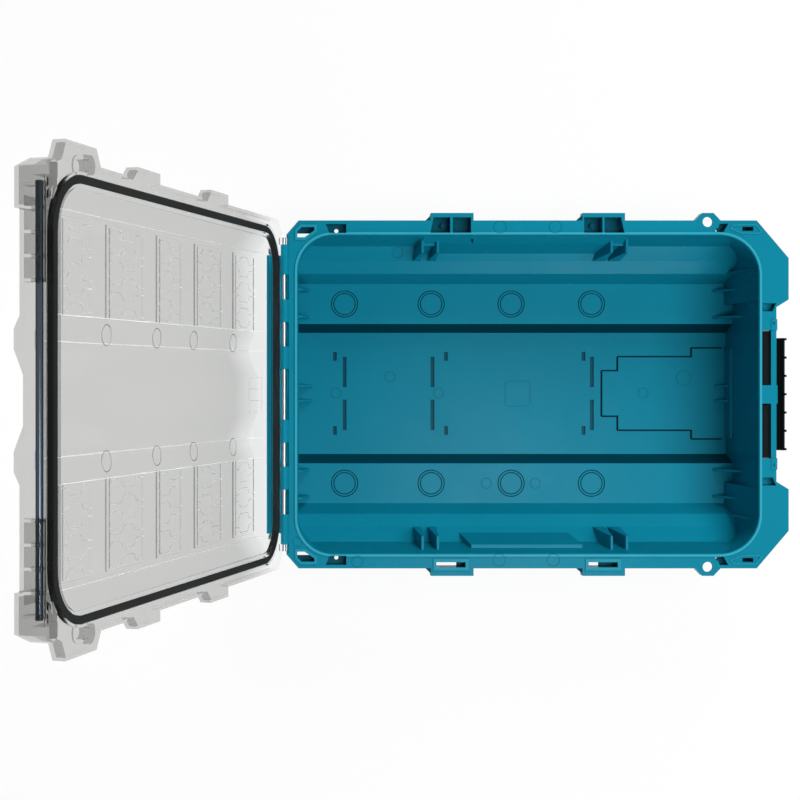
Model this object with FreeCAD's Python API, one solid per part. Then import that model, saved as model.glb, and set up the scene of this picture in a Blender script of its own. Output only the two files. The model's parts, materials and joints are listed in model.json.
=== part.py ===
"""Tool organizer box: a moulded tub, a clear lid on a hinge rod, a swing latch and a carry handle.

+X points to the handle end, +Z up. The origin is the centre of the underside, and the lid is open.
"""
import FreeCAD, Part
import os
from math import cos, radians, sin, sqrt

V = FreeCAD.Vector
QUARTER = sqrt(0.5)

# Tub, measured from the middle of the box
tub_height = 125.0
wall = 2.8
flange_thickness = 3.2
skirt_depth = 13.0
skirt_wall = 2.4
flange_rear = 267.5
flange_front = 254.5
flange_half = 185.3
corner_front = 267.5
pad_reach = 8.0
pad_half = flange_half + pad_reach
opening_rear = 255.5
opening_front = 235.6
flange_side = 15.8
opening_half = flange_half - flange_side
opening_radius_rear = 38.0
opening_radius_front = 42.0
rim_width = 2.4
rim_height = 1.2
rim_inset = 0.8
overrun = 2.0

# Lid
lid_length = flange_rear + flange_front
lid_rear_gap = 3.0
lid_gap = 1.3
lid_side_gap = 0.3
lid_half = flange_half - lid_side_gap
lid_wall = 2.5
lid_flange_height = 12.0
lid_open_angle = 109.0
dome_height = 22.6
dome_inset = 37.0
dome_half = lid_half - dome_inset
dome_foot_inset = 14.0
dome_foot_half = lid_half - dome_foot_inset
dome_run = 16.0

# Rods and pins
hinge_rod_radius = 2.0
strike_rod_radius = 3.0
latch_axle_radius = 2.5
handle_pin_radius = 3.0
running_gap = 0.06
face_gap = 0.4

# Hinge
knuckle_radius = 4.5
knuckle_sweep_gap = 0.5
knuckle_side_gap = 0.4
hinge_offset = 2.5
lid_knuckle_shares = ((-0.1432, 0.1432), (0.2784, 0.4135), (0.5486, 0.6865), (0.8622, 0.9))
lid_knuckles = [(lid_half * low, lid_half * high) for low, high in lid_knuckle_shares]

hinge_x = -(flange_rear + hinge_offset)
hinge_z = tub_height


def block(x_low, x_high, y_low, y_high, z_low, z_high):
    """A box between two corners."""
    size = (x_high - x_low, y_high - y_low, z_high - z_low)
    return Part.makeBox(*size, V(x_low, y_low, z_low))


def outline_face(corners):
    """A flat face inside a closed polygon."""
    return Part.Face(Part.makePolygon(corners + corners[:1]))


def plan_prism(points, z_low, z_high):
    """An outline in plan, raised from z_low to z_high."""
    face = outline_face([V(x, y, z_low) for x, y in points])
    return face.extrude(V(0, 0, z_high - z_low))


def side_prism(points, y_low, y_high):
    """An outline of x and z, carried across from y_low to y_high."""
    face = outline_face([V(x, y_low, z) for x, z in points])
    return face.extrude(V(0, y_high - y_low, 0))


def length_prism(points, x_low, x_high):
    """An outline of y and z, carried along from x_low to x_high."""
    face = outline_face([V(x_low, y, z) for y, z in points])
    return face.extrude(V(x_high - x_low, 0, 0))


def cross_rod(x, z, radius, y_low, y_high):
    """A round bar across the box."""
    return Part.makeCylinder(radius, y_high - y_low, V(x, y_low, z), V(0, 1, 0))


def post(x, y, radius, z_low, z_high):
    """An upright round bar."""
    return Part.makeCylinder(radius, z_high - z_low, V(x, y, z_low))


def rounded_plan(x_low, x_high, half, radius_low, radius_high, z_low, z_high):
    """A rectangle in plan with one corner radius at each end, raised from z_low to z_high."""
    edges = []
    corners = (
        (x_high - radius_high, half - radius_high, radius_high, 0),
        (x_low + radius_low, half - radius_low, radius_low, 1),
        (x_low + radius_low, radius_low - half, radius_low, 2),
        (x_high - radius_high, radius_high - half, radius_high, 3),
    )
    arcs = []
    for x, y, radius, turn in corners:
        angles = [radians(90 * turn + step) for step in (0, 45, 90)]
        arcs.append([V(x + radius * cos(a), y + radius * sin(a), z_low) for a in angles])
    for index, arc in enumerate(arcs):
        following = arcs[(index + 1) % len(arcs)]
        edges.append(Part.Arc(*arc).toShape())
        edges.append(Part.makeLine(arc[-1], following[0]))
    face = Part.Face(Part.Wire(edges))
    return face.extrude(V(0, 0, z_high - z_low))


def mirrored(shape):
    """The same shape on the other long side."""
    return shape.mirror(V(0, 0, 0), V(0, 1, 0))


def both_sides(shape):
    """A shape and its mirror image."""
    return [shape, mirrored(shape)]


def both_half(points):
    """A half outline from the far side to the middle, closed by its mirror image."""
    return points + [(-y, z) for y, z in reversed(points)]


def along(low, high, pitch):
    """Evenly spread places between two ends, about one pitch apart."""
    count = max(1, round((high - low) / pitch))
    return [low + (high - low) * (step + 0.5) / count for step in range(count)]


def save(name, shape):
    """Write one piece, and say its size."""
    shape = shape.removeSplitter()
    shape.exportStep("parts/" + name + ".step")
    print(name, len(shape.Solids), shape.isValid(), round(shape.Volume / 1000.0, 1), "cm3")


# Flange outline, corner by corner from the hinge end to the front, on the +Y side
rear_corner_long = 13.0
rear_corner_wide = 15.0
front_corner_long = 34.0
front_corner_wide = 40.0
corner_block_inner = 101.0
corner_block_slant = 8.0
pad_shares = ((0.2875, 0.3727), (0.5895, 0.6742))
pad_lead = 6.0
pad_brace_drop = 2.0
ear_shares = (0.814, 0.828, 0.8505, 0.8645)


def flange_x(share):
    """A place along the flange, from its share of the flange's length."""
    return -flange_rear + (flange_rear + corner_front) * share


pad_places = [(flange_x(low), flange_x(high)) for low, high in pad_shares]
ear_foot_rear, ear_tip_rear, ear_tip_front, ear_foot_front = [flange_x(share) for share in ear_shares]


def edge_with_pads(half, pad_edge, pads, lead):
    """Points along one long side, stepping out at each pad, and back over a slanted or a square edge."""
    points = []
    for x_low, x_high in pads:
        points += [(x_low, half), (x_low, pad_edge)]
        points += [(x_high, pad_edge), (x_high + lead, half)]
    return points


def flange_outline():
    """The flange's outline in plan, as a closed loop."""
    ear = [
        (ear_foot_rear, flange_half),
        (ear_tip_rear, pad_half),
        (ear_tip_front, pad_half),
        (ear_foot_front, flange_half),
    ]
    half_loop = [
        (-flange_rear, flange_half - rear_corner_wide),
        (-flange_rear + rear_corner_long, flange_half),
    ]
    half_loop += edge_with_pads(flange_half, pad_half, pad_places, 0)
    half_loop += ear
    half_loop += [
        (corner_front - front_corner_long, flange_half),
        (corner_front, flange_half - front_corner_wide),
        (corner_front, corner_block_inner),
        (flange_front, corner_block_inner - corner_block_slant),
    ]
    return half_loop + [(x, -y) for x, y in reversed(half_loop)]


# Tub wall: half widths and heights of the stepped inside, from the rim down to the middle of the floor
shelf_inset = 7.7
shelf_half = opening_half - shelf_inset
shelf_height = 79.0
shelf_width = 15.2
step_half = shelf_half - shelf_width
step_height = 65.0
step_width = 13.4
haunch_half = step_half - step_width
haunch_height = 55.0
haunch_width = 9.7
bench_half = haunch_half - haunch_width
bench_height = 30.0
bench_width = 44.9
keel_top_half = bench_half - bench_width
keel_draft = 9.3
keel_half = keel_top_half - keel_draft
floor_height = wall
rear_wall_draft = 1.2
front_wall_draft = 1.2
bench_end_draft = 14.0
bench_end_inset = 23.5
bench_end_half = bench_half - bench_end_inset


def tub_profile(growth):
    """The stepped cross-section of the inside, grown outwards by a wall."""
    top = tub_height + overrun
    half = [
        (opening_half, top),
        (opening_half, tub_height),
        (shelf_half, shelf_height),
        (step_half, step_height),
        (haunch_half, haunch_height),
        (bench_half, bench_height),
        (keel_top_half, bench_height),
        (keel_half, floor_height),
    ]
    loop = both_half(half)
    corners = [V(0, y, z) for y, z in loop]
    wire = Part.makePolygon(corners + corners[:1])
    if growth:
        wire = wire.makeOffset2D(growth, 2)
    return Part.Face(wire)


def tub_form(growth):
    """The tub's inside, or with a growth its outside, before the flange goes on."""
    low = -(opening_rear + growth)
    high = opening_front + growth
    bottom = floor_height - growth
    bar = tub_profile(growth)
    bar.translate(V(low - overrun, 0, 0))
    bar = bar.extrude(V(high - low + overrun + overrun, 0, 0))
    plan = rounded_plan(low, high, opening_half + growth, opening_radius_rear + growth,
                        opening_radius_front + growth, bottom - overrun, tub_height + overrun)
    bar = bar.common(plan)
    parts = []
    for draft, half in ((bench_end_draft, flange_half), (front_wall_draft, bench_end_half + growth)):
        ends = side_prism([
            (low, tub_height + overrun),
            (low, tub_height),
            (low + rear_wall_draft, bottom),
            (high - draft, bottom),
            (high, tub_height),
            (high, tub_height + overrun),
        ], -half, half)
        parts.append(bar.common(ends))
    return parts[0].fuse(parts[1])


def flange_plate():
    """The flat flange with its hanging skirt."""
    top = tub_height
    under = tub_height - flange_thickness
    outline = flange_outline()
    solid = plan_prism(outline, top - skirt_depth, top)
    corners = [V(x, y, top - skirt_depth - overrun) for x, y in outline]
    inner = Part.makePolygon(corners + corners[:1]).makeOffset2D(-skirt_wall, 2)
    hollow = Part.Face(inner).extrude(V(0, 0, under - (top - skirt_depth - overrun)))
    return solid.cut(hollow)


def pad_braces():
    """Sloping braces under the rear end of each pad."""
    pieces = []
    low = tub_height - skirt_depth
    for x_low, _ in pad_places:
        inner = flange_half - skirt_wall
        plan = plan_prism([
            (x_low - pad_lead, inner),
            (x_low - pad_lead, flange_half),
            (x_low + skirt_wall, pad_half),
            (x_low + skirt_wall, inner),
        ], low, tub_height)
        slope = side_prism([
            (x_low - pad_lead, low),
            (x_low, tub_height - pad_brace_drop),
            (x_low + skirt_wall, tub_height - pad_brace_drop),
            (x_low + skirt_wall, low),
        ], inner, pad_half)
        pieces += both_sides(plan.common(slope))
    return pieces


def rim_bead():
    """The raised bead round the opening that presses into the seal."""
    outer = rim_inset + rim_width
    ring = rounded_plan(-opening_rear - outer, opening_front + outer, opening_half + outer,
                        opening_radius_rear + outer, opening_radius_front + outer,
                        tub_height - flange_thickness, tub_height + rim_height)
    hole = rounded_plan(-opening_rear - rim_inset, opening_front + rim_inset, opening_half + rim_inset,
                        opening_radius_rear + rim_inset, opening_radius_front + rim_inset,
                        tub_height, tub_height + rim_height + overrun)
    return ring.cut(hole)


# Ribs under the flange, feet and outer frames
rib_wall = 2.2
rib_pitch = 44.0
rib_drop = 52.0
rib_reach = flange_half - skirt_wall
skin_inset = 11.0
skin_outer = opening_half - skin_inset
skin_low = 8.0
foot_length = 36.0
foot_gap = 4.5
foot_inner = bench_half + foot_gap
foot_width = 28.0
foot_outer = foot_inner + foot_width
foot_shares = (0.075, 0.5, 0.925)


def side_ribs():
    """Upright ribs that brace the flange and fill the space under the stepped wall."""
    ribs = []
    low = -(flange_rear - rear_corner_long)
    high = corner_front - front_corner_long
    top = tub_height - flange_thickness
    for x in along(low, high, rib_pitch):
        half_wall = rib_wall / 2
        gusset = length_prism([
            (shelf_half, top),
            (rib_reach, top),
            (rib_reach, tub_height - skirt_depth),
            (shelf_half + wall, top - rib_drop),
            (shelf_half, top - rib_drop),
        ], x - half_wall, x + half_wall)
        web = length_prism([
            (bench_half, bench_height),
            (haunch_half, haunch_height),
            (step_half, step_height),
            (skin_outer, shelf_height - wall),
            (skin_outer, skin_low),
            (bench_half, skin_low),
        ], x - half_wall, x + half_wall)
        ribs += both_sides(gusset) + both_sides(web)
    return ribs


def side_skins():
    """The long outer panels that close the rib bays, low down on each side."""
    low = -(opening_rear - opening_radius_rear)
    high = opening_front - opening_radius_front
    panel = block(low, high, skin_outer - wall, skin_outer, skin_low, shelf_height - wall)
    return both_sides(panel)


def feet():
    """Ribbed feet beside the runners, three on each side."""
    span = opening_rear + opening_front - foot_length
    pieces = []
    for share in foot_shares:
        x = -opening_rear + span * share
        foot = block(x, x + foot_length, foot_inner, foot_outer, 0, bench_height)
        hollow = block(x + wall, x + foot_length - wall, foot_inner + wall, foot_outer - wall, -overrun,
                       bench_height - wall)
        pieces += both_sides(foot.cut(hollow))
    return pieces


# Hinge side of the tub
hinge_web = 4.5
ledge_near = 7.5
ledge_far = 18.8
ledge_inset = 36.8
ledge_half = flange_half - ledge_inset
ledge_depth = 9.0
ledge_plate = 3.0
ledge_rib_pitch = 17.8
ledge_rib_drop = 22.0


def knuckle_gaps():
    """The stretches of the hinge line between the lid's knuckles, on the +Y side."""
    spans = []
    for inner, outer in zip(lid_knuckles, lid_knuckles[1:]):
        spans.append((inner[1] + knuckle_side_gap, outer[0] - knuckle_side_gap))
    return spans


def tub_knuckles():
    """Hinge knuckles moulded to the rear edge, bored for the rod."""
    pieces = []
    for y_low, y_high in knuckle_gaps():
        barrel = cross_rod(hinge_x, hinge_z, knuckle_radius, y_low, y_high)
        web = block(hinge_x, -flange_rear + skirt_wall, y_low, y_high, hinge_z - hinge_web, hinge_z)
        pieces += both_sides(barrel.fuse(web))
    return pieces


def lid_rear_line(height, gap):
    """A point of the open lid's rear face, a gap outside it."""
    turn = radians(-lid_open_angle)
    reach = lid_rear_gap - gap
    return (hinge_x + reach * cos(turn) + height * sin(turn),
            hinge_z - reach * sin(turn) + height * cos(turn))


def rear_ledge():
    """The ribbed ledge behind the hinge that the open lid leans on."""
    near = lid_rear_line(ledge_near, face_gap)
    far = lid_rear_line(ledge_far, face_gap)
    low = hinge_z - ledge_depth
    root = -flange_rear + skirt_wall
    plate = side_prism([
        near,
        far,
        (far[0], low),
        (root, low),
        (root, low + ledge_plate),
        (near[0], low + ledge_plate),
    ], -ledge_half, ledge_half)
    pieces = [plate]
    for y in along(-ledge_half, ledge_half, ledge_rib_pitch):
        rib = side_prism([
            (far[0], low),
            (-opening_rear, low),
            (-opening_rear, low - ledge_rib_drop),
            (-flange_rear, low - ledge_rib_drop),
        ], y - rib_wall / 2, y + rib_wall / 2)
        pieces.append(rib)
    return pieces


# Front of the tub: bosses for the latch axle and the handle pins
latch_x = 251.5
latch_drop = 9.0
latch_z = tub_height - latch_drop
latch_half = 60.8
latch_axle_half = 78.0
latch_bay_half = 68.2
boss_outer = 80.2
boss_depth = 17.0
boss_low = tub_height - boss_depth
boss_center = 251.1
boss_radius = 5.6
boss_rise = 1.0
boss_hole = 2.6
clip_half = 9.8
slot_rear = 239.4
slot_front = 248.7
handle_x = 250.0
handle_z = 62.0
handle_half = 86.0
handle_boss_width = 11.0
handle_boss_outer = handle_half + handle_boss_width
handle_boss_front = 259.0
handle_boss_half_height = 9.0
handle_boss_root = 40.0
side_gap = 0.5


def front_fittings():
    """Bosses on the front wall for the latch axle and the handle pins. The cavity trims their roots."""
    rear = opening_front
    crest = tub_height + boss_rise - boss_radius
    barrel = cross_rod(boss_center, crest, boss_radius, latch_bay_half, boss_outer)
    foot = block(rear, boss_center + boss_radius, latch_bay_half, boss_outer, boss_low, crest)
    hole = block(boss_center - boss_hole / 2, boss_center + boss_hole / 2, (latch_bay_half + boss_outer) / 2,
                 (latch_bay_half + boss_outer) / 2 + boss_hole, crest + boss_hole, tub_height + overrun)
    end_boss = barrel.fuse(foot).cut(hole)
    clip = block(rear, boss_center + boss_radius - boss_rise, -clip_half, clip_half, boss_low, tub_height)
    ear = block(rear - handle_boss_root, handle_boss_front, handle_half + side_gap, handle_boss_outer,
                handle_z - handle_boss_half_height, handle_z + handle_boss_half_height)
    return both_sides(end_boss) + [clip] + both_sides(ear)


def front_cuts():
    """The latch bay, the slots over the hubs, and the bores of the axle and the pins."""
    bay = block(flange_front - skirt_wall - overrun, corner_front, -latch_bay_half, latch_bay_half,
                tub_height - skirt_depth - overrun, tub_height - flange_thickness)
    bay = bay.cut(block(opening_front, corner_front, -clip_half, clip_half, boss_low, tub_height))
    slot = block(slot_rear, slot_front, clip_half, latch_bay_half, boss_low, tub_height + overrun)
    axle_bore = cross_rod(latch_x, latch_z, latch_axle_radius, -latch_axle_half, latch_axle_half)
    pin_bore = cross_rod(handle_x, handle_z, handle_pin_radius, handle_half - overrun,
                         handle_boss_outer + overrun)
    return [bay, axle_bore] + both_sides(slot) + both_sides(pin_bore)


# Details on the flange: each place is a share of its length and half width, each outline of its own size
corner_slot_share = (0.0386, 0.9325)
corner_slot_size = (18.0, 10.8)
corner_slot_corner_shares = ((-0.5, -0.5), (-0.074, -0.5), (0.5, 0.172), (0.5, 0.5), (-0.257, 0.5),
                             (-0.5, 0.104))
corner_slot_frame = 2.8
corner_slot_ledge_share = -0.02
rear_pocket_share = (0.0987, 0.9541)
rear_pocket_size = (21.8, 9.7)
rear_pocket_corner_shares = ((-0.326, -0.5), (0.5, -0.5), (0.5, 0.5), (-0.5, 0.5))
rear_pocket_hole_share = (0.03, -0.18)
front_pocket_share = (0.8684, 0.9574)
front_pocket_size = (12.2, 8.9)
front_pocket_corner_shares = ((-0.5, -0.5), (0.09, -0.5), (0.5, 0.5), (-0.246, 0.5))
front_pocket_hole_share = (-0.44, -0.29)
latch_pocket_share = (0.9615, 0.5008)
latch_pocket_size = (14.4, 8.6)
latch_pocket_corner_shares = ((-0.5, -0.5), (0.25, -0.5), (0.5, 0.5), (-0.5, 0.5))
latch_pocket_hole_share = (-0.37, -0.16)
pocket_depth = 11.0
pocket_wall = 1.6
pocket_hole_radius = 2.2
window_shares = ((0.3275, 0.979), (0.6305, 0.979))
window_size = (31.0, 5.5)
window_open_shares = (0.74, 0.44)
window_well_depth = 17.0
frame_width = 3.4
frame_rise = 0.9
cradle_shares = ((0.308, 0.974), (0.3494, 0.974), (0.611, 0.974), (0.6515, 0.974))
cradle_size = (19.4, 16.6)
cradle_slants = ((3.6, 0.0), (0.0, 0.0), (0.0, 0.0), (0.0, -3.6))
cradle_depth = 15.0
cradle_boss_radius = 2.9
cradle_boss_height = 4.0
cradle_boss_shares = (0.16, -0.3, 0.06, -0.3)
strap_share = (0.9146, 0.9509)
strap_size = (34.6, 10.6)
strap_corner_shares = ((-0.136, -0.48), (0.405, -0.5), (0.5, -0.245), (0.29, 0.5), (-0.405, 0.44),
                       (-0.5, 0.01))
strap_line = 1.3
strap_well_share = (0.9187, 0.952)
strap_well_size = (11.6, 4.4)
strap_well_depth = 26.0
padlock_hole_radius = 5.4
padlock_hole_share = 0.8389
padlock_hole_inset = 1.5
padlock_hole_half = flange_half - padlock_hole_inset


def flange_place(shares, side):
    """A place on the flange, from its shares."""
    return flange_x(shares[0]), side * flange_half * shares[1]


def shaped(x, y, size, corner_shares):
    """An outline about a place, from its corners as shares of its size, mirrored on the -Y side."""
    side = 1 if y > 0 else -1
    return [(x + size[0] * share[0], y + side * size[1] * share[1]) for share in corner_shares]


def slanted(x, y, size, rear_slant, front_slant):
    """A four-sided outline about a place, its two ends slanted."""
    side = 1 if y > 0 else -1
    long, wide = size[0] / 2, side * size[1] / 2
    rear, front = rear_slant / 2, front_slant / 2
    return [
        (x - long - rear, y - wide),
        (x + long - front, y - wide),
        (x + long + front, y + wide),
        (x - long + rear, y + wide),
    ]


def grown_prism(points, growth, z_low, z_high):
    """An outline in plan, drawn out or in all round, and raised."""
    corners = [V(x, y, z_low) for x, y in points]
    wire = Part.makePolygon(corners + corners[:1]).makeOffset2D(growth, 2)
    return Part.Face(wire).extrude(V(0, 0, z_high - z_low))


def cup(points, depth):
    """A moulded pocket hanging from the flange: what to add, and what to cut from it."""
    floor = tub_height - depth
    body = grown_prism(points, pocket_wall, floor - pocket_wall, tub_height)
    hollow = plan_prism(points, floor, tub_height + overrun)
    return body, hollow


def flange_pockets(side):
    """The small pockets with a drain hole, at the sides and at the front."""
    added = []
    cuts = []
    kinds = (
        (rear_pocket_share, rear_pocket_size, rear_pocket_corner_shares, rear_pocket_hole_share),
        (front_pocket_share, front_pocket_size, front_pocket_corner_shares, front_pocket_hole_share),
        (latch_pocket_share, latch_pocket_size, latch_pocket_corner_shares, latch_pocket_hole_share),
    )
    for place, size, corner_shares, hole_share in kinds:
        x, y = flange_place(place, side)
        body, hollow = cup(shaped(x, y, size, corner_shares), pocket_depth)
        (hole_x, hole_y), = shaped(x, y, size, [hole_share])
        drain = post(hole_x, hole_y, pocket_hole_radius, tub_height - skirt_depth - overrun, tub_height)
        added.append(body)
        cuts += [hollow, drain]
    return added, cuts


def corner_slot(side):
    """The six-sided slot near the hinge, its outer part closed by a deep ledge, in a raised frame."""
    x, y = flange_place(corner_slot_share, side)
    points = shaped(x, y, corner_slot_size, corner_slot_corner_shares)
    under = tub_height - skirt_depth - pocket_wall
    frame = grown_prism(points, corner_slot_frame, tub_height - flange_thickness, tub_height + frame_rise)
    well = grown_prism(points, pocket_wall, under, tub_height)
    hollow = plan_prism(points, under - overrun, tub_height + frame_rise + overrun)
    ledge_y = y + side * corner_slot_size[1] * corner_slot_ledge_share
    far_y = side * flange_half
    ledge = block(x - corner_slot_size[0], x + corner_slot_size[0], min(ledge_y, far_y), max(ledge_y, far_y),
                  under, under + pocket_wall)
    return [frame, well], [hollow.cut(ledge)]


def window(place, open_share):
    """A long slot in a raised frame on the -Y side, open through its rear part and a well in front."""
    x, y = flange_place(place, -1)
    outline = slanted(x, y, window_size, 0, 0)
    floor = tub_height - window_well_depth
    frame = grown_prism(outline, frame_width, tub_height - flange_thickness, tub_height + frame_rise)
    well = grown_prism(outline, pocket_wall, floor - pocket_wall, tub_height)
    hollow = plan_prism(outline, floor - pocket_wall - overrun, tub_height + frame_rise + overrun)
    start = x - window_size[0] / 2 + window_size[0] * open_share
    ledge = block(start, x + window_size[0], y - window_size[1], y + window_size[1], floor - pocket_wall,
                  floor)
    return [frame, well], [hollow.cut(ledge)]


def strap_mark(side):
    """The raised line round the strap place in the front corner, and its deep narrow well."""
    x, y = flange_place(strap_share, side)
    points = shaped(x, y, strap_size, strap_corner_shares)
    top = tub_height + frame_rise
    line = plan_prism(points, tub_height - flange_thickness, top)
    line = line.cut(grown_prism(points, -strap_line, tub_height, top + overrun))
    x, y = flange_place(strap_well_share, side)
    well, hollow = cup(slanted(x, y, strap_well_size, 0, 0), strap_well_depth)
    return [line, well], [hollow]


def cradles():
    """The deep pockets with round bosses in the pads of the +Y side."""
    added = []
    cuts = []
    for shares, slants, boss_share in zip(cradle_shares, cradle_slants, cradle_boss_shares):
        x, y = flange_place(shares, 1)
        body, hollow = cup(slanted(x, y, cradle_size, *slants), cradle_depth)
        floor = tub_height - cradle_depth
        boss = post(x + cradle_size[0] * boss_share, y, cradle_boss_radius, floor, floor + cradle_boss_height)
        added.append(body)
        cuts.append(hollow.cut(boss))
    return added, cuts


def flange_details():
    """What to add to the flange, and the slots, pockets and holes to cut from it."""
    groups = [cradles()]
    groups += [window(place, share) for place, share in zip(window_shares, window_open_shares)]
    through = tub_height - skirt_depth - overrun
    for side in (1, -1):
        groups += [flange_pockets(side), corner_slot(side), strap_mark(side)]
        hole = post(flange_x(padlock_hole_share), side * padlock_hole_half, padlock_hole_radius, through,
                    tub_height + overrun)
        groups.append(([], [hole]))
    added = [solid for solids, _ in groups for solid in solids]
    cuts = [solid for _, solids in groups for solid in solids]
    return added, cuts


# Inside of the tub: raised plate, slots, rings and rib pairs
plate_rise = 2.0
plate_step_shares = ((0.709, 0.365), (0.746, 0.596), (0.918, 0.74))
plate_wall_rise = 25.0
tick_shares = (0.1047, 0.3096, 0.6812)
tick_inner = 7.3
tick_outer = 41.8
tick_wall = 4.1
tick_depth = 1.8
small_tick_shares = (0.0819, 0.3409, 0.6616)
small_tick_inner = 37.5
small_tick_outer = 47.3
ring_shares = (0.1071, 0.3059, 0.4894, 0.6739)
ring_half = (bench_half + keel_top_half) / 2
ring_radius = 15.2
ring_gap = 2.7
ring_line = 0.9
ring_depth = 1.2
rib_pair_shares = (0.2902, 0.7042)
rib_pair_gap = 16.4
rib_pair_wall = 2.6
rib_pair_feet = (6.0, 11.0)
rib_pair_drop = 15.0
rib_pair_inset = 17.1
rib_pair_half = opening_half - rib_pair_inset
cross_plate_inset = 9.5
cross_plate_half = opening_half - cross_plate_inset
cross_plate_drop = 20.0
ledge_crest_drop = 6.0
ledge_shoulder_drop = 21.0
ledge_crest_inset = 1.3
long_ledge_shares = (0.274, 0.716)
long_ledge_inset = 7.1
long_ledge_half = opening_half - long_ledge_inset
long_ledge_foot_inset = 15.1
long_ledge_foot_half = opening_half - long_ledge_foot_inset
ledge_notch_shares = (0.3765, 0.3838)
box_ledge_shares = (0.3814, 0.6258)
box_ledge_inset = 7.4
box_ledge_half = opening_half - box_ledge_inset
box_ledge_foot_inset = 16.9
box_ledge_foot_half = opening_half - box_ledge_foot_inset
box_ledge_lean = 10.0
fin_wall = 2.6
fin_tip = 5.0
floor_fin_half = 8.4
floor_fin_length = 17.0
floor_fin_rise = 16.0
bench_fin_shares = (0.692, 0.935)
bench_fin_lengths = (13.5, 24.2)
bench_fin_rise = 36.0
gusset_gap = 0.8
gusset_half = haunch_half + gusset_gap
gusset_length = 14.6
gusset_top_drop = 4.0


def inside_place(share):
    """A place along the opening, from its share of the opening's length."""
    return -opening_rear + (opening_rear + opening_front) * share


def inside_added():
    """Ribs, fins and the raised plate that stand up inside the tub."""
    pieces = []
    for share, half_share in plate_step_shares:
        half = keel_half * half_share
        pieces.append(block(inside_place(share), opening_front, -half, half, floor_height - wall / 2,
                            floor_height + plate_rise))
    pieces.append(block(opening_front - front_wall_draft - plate_rise, opening_front + wall / 2, -half, half,
                        floor_height, floor_height + plate_wall_rise))
    return pieces + rib_pairs() + [long_ledge(), box_ledge()] + end_fins() + corner_gussets()


def shelf_level(half):
    """The height of the sloping shelf at a distance from the middle."""
    return step_height + (shelf_height - step_height) * (half - step_half) / (shelf_half - step_half)


def wall_profile(inner, x_low, x_high):
    """A solid between a line of y and z inside the tub and the tub's side wall."""
    top = inner[0][1]
    foot_half, foot_level = inner[-1]
    loop = inner + [
        (foot_half, foot_level - wall / 2),
        (shelf_half, shelf_height - wall / 2),
        (opening_half, top),
    ]
    return length_prism(loop, x_low, x_high)


def rib_pairs():
    """Pairs of upright plates on the shelves, wide at the foot, with a cross plate on one side."""
    pieces = []
    top = tub_height - rib_pair_drop
    half_wall = rib_pair_wall / 2
    for share, foot in zip(rib_pair_shares, rib_pair_feet):
        middle = inside_place(share)
        for x in (middle - rib_pair_gap / 2, middle + rib_pair_gap / 2):
            wedge = side_prism([
                (x + half_wall, top),
                (x - half_wall, top),
                (x - half_wall - foot, step_height),
                (x - half_wall - foot, step_height - wall),
                (x + half_wall, step_height - wall),
            ], step_half - wall, flange_half)
            rib = wall_profile([(rib_pair_half, top), (step_half, step_height)], x - rib_pair_gap,
                               x + rib_pair_gap)
            pieces += both_sides(rib.common(wedge))
        pieces.append(block(middle - rib_pair_gap / 2, middle + rib_pair_gap / 2, cross_plate_half,
                            cross_plate_half + rib_pair_wall, shelf_level(cross_plate_half) - wall / 2,
                            tub_height - cross_plate_drop))
    return pieces


def long_ledge():
    """The thickened wall of the +Y side, from one pair of ribs to the other, notched beside a pad."""
    crest = tub_height - ledge_crest_drop
    shoulder = tub_height - ledge_shoulder_drop
    x_low, x_high = [inside_place(share) for share in long_ledge_shares]
    ledge = wall_profile([
        (opening_half - ledge_crest_inset, crest),
        (long_ledge_half, shoulder),
        (long_ledge_foot_half, shelf_level(long_ledge_foot_half)),
    ], x_low, x_high)
    notch_low, notch_high = [inside_place(share) for share in ledge_notch_shares]
    return ledge.cut(block(notch_low, notch_high, long_ledge_foot_half, opening_half - wall, shoulder, crest))


def box_ledge():
    """The boxed ledge in the middle of the -Y side, leaning to the hinge end at its foot."""
    top = tub_height - ledge_shoulder_drop
    low = shelf_level(box_ledge_foot_half)
    x_low, x_high = [inside_place(share) for share in box_ledge_shares]
    bar = wall_profile([(box_ledge_half, top), (box_ledge_foot_half, low)], x_low - box_ledge_lean - overrun,
                       x_high + overrun)
    ends = side_prism([
        (x_low, top),
        (x_high, top),
        (x_high - box_ledge_lean, low),
        (x_high - box_ledge_lean, low - wall),
        (x_low - box_ledge_lean, low - wall),
        (x_low - box_ledge_lean, low),
    ], step_half, flange_half)
    return mirrored(bar.common(ends))


def end_fins():
    """Small upright fins that stiffen the two end walls where they meet the floor and the benches."""
    pieces = []
    rear_length, front_length = bench_fin_lengths
    levels = [(floor_fin_half, floor_height, floor_fin_length, floor_fin_length, floor_fin_rise)]
    levels += [(bench_half * share, bench_height, rear_length, front_length, bench_fin_rise)
               for share in bench_fin_shares]
    for half, level, rear, front, rise in levels:
        for x, inward, length in ((-opening_rear, 1, rear), (opening_front, -1, front)):
            fin = side_prism([
                (x - inward * wall / 2, level - wall / 2),
                (x + inward * length, level - wall / 2),
                (x + inward * length, level),
                (x + inward * fin_tip, level + rise),
                (x - inward * wall / 2, level + rise),
            ], half - fin_wall / 2, half + fin_wall / 2)
            pieces += both_sides(fin)
    return pieces


def corner_gussets():
    """Thin sloping plates that brace the two front corners above the haunch."""
    gusset = side_prism([
        (opening_front + wall / 2, tub_height - gusset_top_drop),
        (opening_front - rim_inset, tub_height - gusset_top_drop),
        (opening_front - gusset_length, haunch_height),
        (opening_front - gusset_length, bench_height),
        (opening_front - wall, bench_height),
    ], gusset_half - rib_pair_wall / 2, gusset_half + rib_pair_wall / 2)
    return both_sides(gusset)


def floor_slots(shares, inner, outer):
    """Short slots sunk into the floor on both sides of its middle."""
    cuts = []
    for share in shares:
        x = inside_place(share)
        cuts += both_sides(block(x, x + tick_wall, inner, outer, floor_height - tick_depth, tub_height))
    return cuts


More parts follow.
